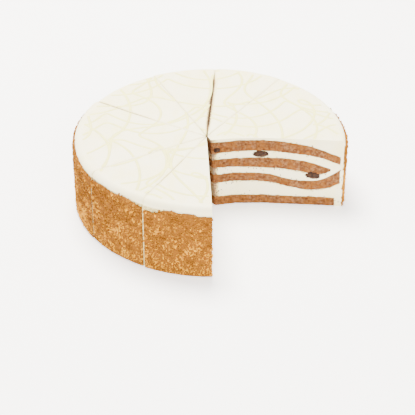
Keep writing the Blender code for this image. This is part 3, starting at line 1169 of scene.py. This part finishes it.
def cream_top(portion, reach, angle):
    """Height of the cream's top at a place of a portion."""
    radius = reach * CREAM_RADIUS / portion.ray_length(angle)
    mark = (radius, CAKE_HEIGHT, 0)
    return shape_cream(portion, mark, angle, portion.place(mark, angle))[0].z


def drizzle_curve():
    """The threads as a curve, broken where they cross a cut or leave the top."""
    curve = bpy.data.curves.new("drizzle_paths", "CURVE")
    curve.dimensions = "3D"
    for path in drizzle_threads():
        run = []
        for place in [*path, None]:
            found = portion_under(place) if place else None
            if found:
                run.append(Vector((place.x, place.y, cream_top(*found))))
                continue
            if len(run) > 3:
                spline = curve.splines.new("POLY")
                spline.points.add(len(run) - 1)
                for point, spot in zip(spline.points, run):
                    point.co = (*(spot * MM), 1.0)
            run = []
    return linked_object("drizzle_paths", curve)


def thread_tree():
    """A flat round thread along each curve."""
    nodes = GeometryTree("thread_on_cream")
    width = nodes.input("Width")
    material = nodes.input("Material", "NodeSocketMaterial")
    paths = nodes.add("GeometryNodeSetCurveNormal", None, {"Curve": nodes.geometry})
    ring = nodes.add("GeometryNodeCurvePrimitiveCircle", None, {"Resolution": 8, "Radius": width * 0.5})
    scale = (1.0, DRIZZLE_FLATNESS, 1.0)
    flat = nodes.add("GeometryNodeTransform", None, {"Geometry": ring, "Scale": scale})
    inputs = {"Curve": paths, "Profile Curve": flat, "Fill Caps": True}
    return nodes.finish(nodes.add("GeometryNodeCurveToMesh", None, inputs), material)


# Crumbs on the open faces

CRUMB_SPACING = 1.2
CRUMB_SIZE = 0.95
CRUMB_SEED = 9
CRUMB_GRID_STEP = 1.5
CRUMB_TIP_REACH = 7.0
CRUMB_MARGIN, CRUMB_RIM_MARGIN, CRUMB_TOP_MARGIN = 0.6, 1.0, 3.0
SPONGE_COVER, NEAR_COVER, LEAST_COVER = 0.5, 0.3, 0.008
CRUMB_LIFT = 0.05


def crumb_guide():
    """The open faces as plain grids, with the cover of loose crumbs that each place gets."""
    shell = Shell(("cover",))
    for portion in PORTIONS:
        if not portion.open_side:
            continue
        angle = portion.side_angle(portion.open_side)
        lift = portion.outward(portion.open_side) * CRUMB_LIFT
        rows = []
        for radius in evenly(CRUMB_MARGIN, CREAM_RADIUS - CRUMB_RIM_MARGIN, CRUMB_GRID_STEP):
            tip = math.exp(-radius / CRUMB_TIP_REACH)
            row = []
            for height in evenly(CRUMB_MARGIN, CAKE_HEIGHT - CRUMB_TOP_MARGIN, CRUMB_GRID_STEP):
                outside = filling_of(radius, height)
                near = NEAR_COVER * math.exp(-outside / SPONGE_SMEAR_REACH) + LEAST_COVER
                cover = SPONGE_COVER if outside < 0 else near
                spot = rim_place(portion, radius, angle, height) + lift
                row.append(shell.add(spot, cover=min(cover + tip, 1.0)))
            rows.append(row)
        shell.add_quads(rows)
    return shell.make("crumb_guide")


# Raisins

RAISIN_PROUD = 1.3
RAISIN_SWELL = 1.1
RAISIN_FOLD_DEPTH, RAISIN_FOLD_WIDENING, RAISIN_FOLD_STEEPNESS = 0.22, 0.7, 2.2
RAISIN_FOLDS_ALONG, RAISIN_FOLDS_ACROSS = 1.6, 4.2
RAISIN_GRAIN, RAISIN_GRAIN_FINENESS = 0.05, 11.0
RAISIN_COLOUR = (0.017, 0.008, 0.005)
RAISIN_RIDGE_COLOUR = (0.052, 0.022, 0.010)


def raisin_piece(number, raisin, material):
    """A plump oval with the deep folds of dried fruit, half sunk in the crumb."""
    portion_number, cut, distance, height, length, thickness = raisin
    portion = PORTIONS[portion_number - 1]
    side = "start" if cut < portion_number else "end"
    turn = portion.side_angle(side)
    mark = (distance, height, 0)
    place = portion.place(mark, turn) - portion.outward(side) * (RAISIN_DEPTH / 2 - RAISIN_PROUD)
    builder = bmesh.new()
    bmesh.ops.create_icosphere(builder, subdivisions=5, radius=0.5)
    for vert in builder.verts:
        x, y, z = vert.co
        fold_spot = Vector((x * RAISIN_FOLDS_ALONG, y * RAISIN_FOLDS_ACROSS, z * RAISIN_FOLDS_ACROSS))
        folds = abs(noise.noise(fold_spot + Vector((number * 5.0, 0, 0)))) ** RAISIN_FOLD_WIDENING
        fold = RAISIN_FOLD_DEPTH * (1 - min(folds * RAISIN_FOLD_STEEPNESS, 1.0))
        grain = noise.noise(Vector((x, y, z)) * RAISIN_GRAIN_FINENESS + Vector((number, 0, 0)))
        swell = RAISIN_SWELL - fold + RAISIN_GRAIN * grain
        vert.co = Vector((x * length, y * RAISIN_DEPTH, z * thickness)) * swell
    bmesh.ops.rotate(builder, verts=builder.verts, matrix=Matrix.Rotation(turn, 3, "Z"))
    bmesh.ops.translate(builder, verts=builder.verts, vec=place)
    bmesh.ops.scale(builder, verts=builder.verts, vec=(MM, MM, MM))
    mesh = mesh_from(builder, f"raisin_fruit_{number}")
    mesh.shade_smooth()
    mesh.materials.append(material)
    return linked_object(mesh.name, mesh)


# The stage, in metres

KEY_PLACE, KEY_SIZE = (-0.3, 0.6, 1.8), 1.0
FILL_PLACE, FILL_SIZE = (0.65, -1.5, 0.75), 1.2
LIGHT_TARGET = Vector((0.0, 0.0, 0.03))
LIGHT_COLOUR = (1.0, 0.965, 0.90)
ROOM_COLOUR = (1.0, 0.99, 0.98, 1.0)
FLOOR_GLOW, FLOOR_GLOW_COLOUR = 1.35, (1.0, 0.99, 0.975)
FLOOR_HALF_WIDTH = 6.0
FLOOR_LEVEL = -0.0004


def add_area_light(name, place, size, power):
    """A soft round light that looks at the cake."""
    light = bpy.data.lights.new(name, "AREA")
    light.shape = "DISK"
    light.size = size
    light.energy = power
    light.color = LIGHT_COLOUR
    obj = linked_object(name, light)
    obj.location = place
    obj.rotation_euler = (LIGHT_TARGET - Vector(place)).to_track_quat("-Z", "Y").to_euler()


def add_camera(settings):
    """A camera that sees the cake as the photograph does."""
    level_up = Vector((0.0, math.sin(settings.elevation), math.cos(settings.elevation)))
    back = Vector((0.0, -math.cos(settings.elevation), math.sin(settings.elevation)))
    level_right = Vector((1.0, 0.0, 0.0))
    right = level_right * math.cos(settings.roll) + level_up * math.sin(settings.roll)
    up = level_up * math.cos(settings.roll) - level_right * math.sin(settings.roll)
    per_pixel = settings.distance / FOCAL_PIXELS
    middle = IMAGE_SIZE / 2
    eye = back * settings.distance
    eye -= right * (BASE_CENTRE_PIXEL[0] - middle) * per_pixel
    eye += up * (BASE_CENTRE_PIXEL[1] - middle) * per_pixel
    camera = bpy.data.cameras.new("photo_camera")
    camera.sensor_width = SENSOR_WIDTH
    camera.lens = FOCAL_PIXELS * SENSOR_WIDTH / IMAGE_SIZE
    camera.clip_end = 50.0
    obj = linked_object("photo_camera", camera)
    obj.matrix_world = Matrix.Translation(eye) @ Matrix((right, up, back)).transposed().to_4x4()
    bpy.context.scene.camera = obj


# Operators


class CAKE_OT_sponges(bpy.types.Operator):
    """Makes the four sponges of every portion, with open crumb on the two open faces"""

    bl_idname = "cake.sponges"
    bl_label = "Make Sponges"

    def execute(self, context):
        material = sponge_material(context.scene.cake_sponge)
        for portion in PORTIONS:
            for layer in SPONGE_LAYERS:
                name = f"sponge_crumb_{layer}_{portion.number}"
                piece = swept_piece(name, portion, sponge_section(layer), material, sponge_relief)
                dress(piece, "sponge", f"sponge_{layer}_{portion.number}")
        return {"FINISHED"}


class CAKE_OT_cream(bpy.types.Operator):
    """Makes the cream of every portion: its cover, side and three fillings"""

    bl_idname = "cake.cream"
    bl_label = "Make Cream"

    def execute(self, context):
        material = cream_material(context.scene.cake_cream, context.scene.cake_sponge)
        for portion in PORTIONS:
            name = f"whipped_cream_{portion.number}"
            piece = swept_piece(name, portion, cream_section(), material, cream_relief, shape_cream)
            dress(piece, "cream", f"cream_{portion.number}")
        return {"FINISHED"}


class CAKE_OT_nut_coat(bpy.types.Operator):
    """Makes the wall of ground nuts and scatters the chopped pieces over it"""

    bl_idname = "cake.nut_coat"
    bl_label = "Make Nut Coat"

    def execute(self, context):
        nuts = context.scene.cake_nuts
        # painted shade: the dark wall between the pieces stands in for the shade between them
        wall = plain_material("ground_nuts", nuts.ground_nut_and_gap_shade_colour, nuts.brown_colour, 1.6, 0.85, 0.4)
        for portion in PORTIONS:
            dress(nut_wall(portion, wall), "chopped_nuts", f"nut_coat_{portion.number}")
        shapes = [
            make_bit("chip", 1, (1.0, 0.7, 0.55)),
            make_bit("splinter", 2, (1.1, 0.55, 0.45)),
            make_bit("lump", 3, (0.85, 0.8, 0.7)),
            make_bit("flake", 4, (1.1, 0.85, 0.35)),
        ]
        guide = nut_guide()
        tree = scatter_tree(shapes)
        kinds = (
            ("nuts_pale", (0.0, 0.32), nuts.pale_colour, nuts.golden_colour),
            ("nuts_golden", (0.32, 0.74), nuts.golden_colour, nuts.ground_nut_and_gap_shade_colour),
            ("nuts_brown", (0.74, 1.0), nuts.ground_nut_and_gap_shade_colour, nuts.brown_colour),
        )
        for name, shares, light, dark in kinds:
            material = nut_material(name, light, dark)
            pieces = scatter(name, guide, tree, nuts.spacing, nuts.piece_size, shares, nuts.seed, material)
            dress(pieces, "chopped_nuts")
        remove_objects([guide, *shapes])
        return {"FINISHED"}


class CAKE_OT_raisins(bpy.types.Operator):
    """Makes the raisins in the two open faces"""

    bl_idname = "cake.raisins"
    bl_label = "Make Raisins"

    def execute(self, context):
        material = plain_material("raisin_skin", RAISIN_COLOUR, RAISIN_RIDGE_COLOUR, 1.8, 0.5, 0.5, 0.12)
        for number, raisin in enumerate(RAISINS, start=1):
            dress(raisin_piece(number, raisin, material), "raisin", f"raisin_{number}")
        return {"FINISHED"}


class CAKE_OT_drizzle(bpy.types.Operator):
    """Makes the thin pale thread of drizzle on the cream"""

    bl_idname = "cake.drizzle"
    bl_label = "Make Drizzle"

    def execute(self, context):
        cream = context.scene.cake_cream
        deeper = tuple(0.93 * value for value in cream.drizzle_colour)
        values = {
            "Width": cream.drizzle_width,
            "Material": plain_material("pale_drizzle", cream.drizzle_colour, deeper, 9.0, 0.45, 0.02, 0.3),
        }
        paths = drizzle_curve()
        dress(run_tree("drizzle", paths, thread_tree(), values), "cream")
        remove_objects([paths])
        return {"FINISHED"}


class CAKE_OT_crumbs(bpy.types.Operator):
    """Scatters loose sponge crumbs over the two open faces"""

    bl_idname = "cake.crumbs"
    bl_label = "Make Crumbs"

    def execute(self, context):
        sponge = context.scene.cake_sponge
        shapes = [make_bit("crumb", 5, (1.0, 0.8, 0.7)), make_bit("long_crumb", 6, (1.2, 0.6, 0.6))]
        guide = crumb_guide()
        material = nut_material("loose_crumb", sponge.light_colour, sponge.fleck_colour)
        tree = scatter_tree(shapes)
        sizes = CRUMB_SPACING * MM, CRUMB_SIZE * MM
        crumbs = scatter("loose_crumbs", guide, tree, *sizes, (0.0, 1.0), CRUMB_SEED, material)
        dress(crumbs, "sponge")
        remove_objects([guide, *shapes])
        return {"FINISHED"}


class CAKE_OT_stage(bpy.types.Operator):
    """Makes the plain floor, the soft lights and the camera at the photograph's view"""

    bl_idname = "cake.stage"
    bl_label = "Make Stage"

    def execute(self, context):
        settings = context.scene.cake_stage
        paint = Paint("plain_floor", 0.8, Specular_IOR_Level=0.2)
        paint.set("Base Color", tuple(settings.floor_colour))
        paint.set("Emission Color", FLOOR_GLOW_COLOUR)
        paint.set("Emission Strength", FLOOR_GLOW)
        builder = bmesh.new()
        bmesh.ops.create_grid(builder, x_segments=1, y_segments=1, size=FLOOR_HALF_WIDTH)
        mesh = mesh_from(builder, "floor")
        mesh.materials.append(paint.material)
        floor = linked_object("floor", mesh)
        floor.location.z = FLOOR_LEVEL
        add_area_light("key_light", KEY_PLACE, KEY_SIZE, settings.key_power)
        add_area_light("fill_light", FILL_PLACE, FILL_SIZE, settings.fill_power)
        world = bpy.data.worlds.new("room")
        world.use_nodes = True
        background = world.node_tree.nodes["Background"].inputs
        background["Color"].default_value = ROOM_COLOUR
        background["Strength"].default_value = settings.sky
        context.scene.world = world
        add_camera(settings)
        return {"FINISHED"}


OPERATORS = (
    CAKE_OT_sponges,
    CAKE_OT_cream,
    CAKE_OT_nut_coat,
    CAKE_OT_raisins,
    CAKE_OT_drizzle,
    CAKE_OT_crumbs,
    CAKE_OT_stage,
)


class CAKE_PT_looks(bpy.types.Panel):
    """Lists the cake's pieces and their settings"""

    bl_idname = "CAKE_PT_looks"
    bl_label = "Carrot Cake"
    bl_space_type = "VIEW_3D"
    bl_region_type = "UI"
    bl_category = "Cake"

    def draw(self, context):
        for operator in OPERATORS:
            self.layout.operator(operator.bl_idname)
        for name, group in SETTINGS.items():
            box = self.layout.box()
            for setting in group.__annotations__:
                box.prop(getattr(context.scene, name), setting)


def register():
    for group in (*SETTINGS.values(), *OPERATORS, CAKE_PT_looks):
        bpy.utils.register_class(group)
    for name, group in SETTINGS.items():
        setattr(bpy.types.Scene, name, bpy.props.PointerProperty(type=group))


def unregister():
    for name in SETTINGS:
        delattr(bpy.types.Scene, name)
    for group in (CAKE_PT_looks, *reversed(OPERATORS), *SETTINGS.values()):
        bpy.utils.unregister_class(group)


def main():
    register()
    for operator in OPERATORS:
        group, name = operator.bl_idname.split(".")
        getattr(getattr(bpy.ops, group), name)()


if __name__ == "__main__":
    main()
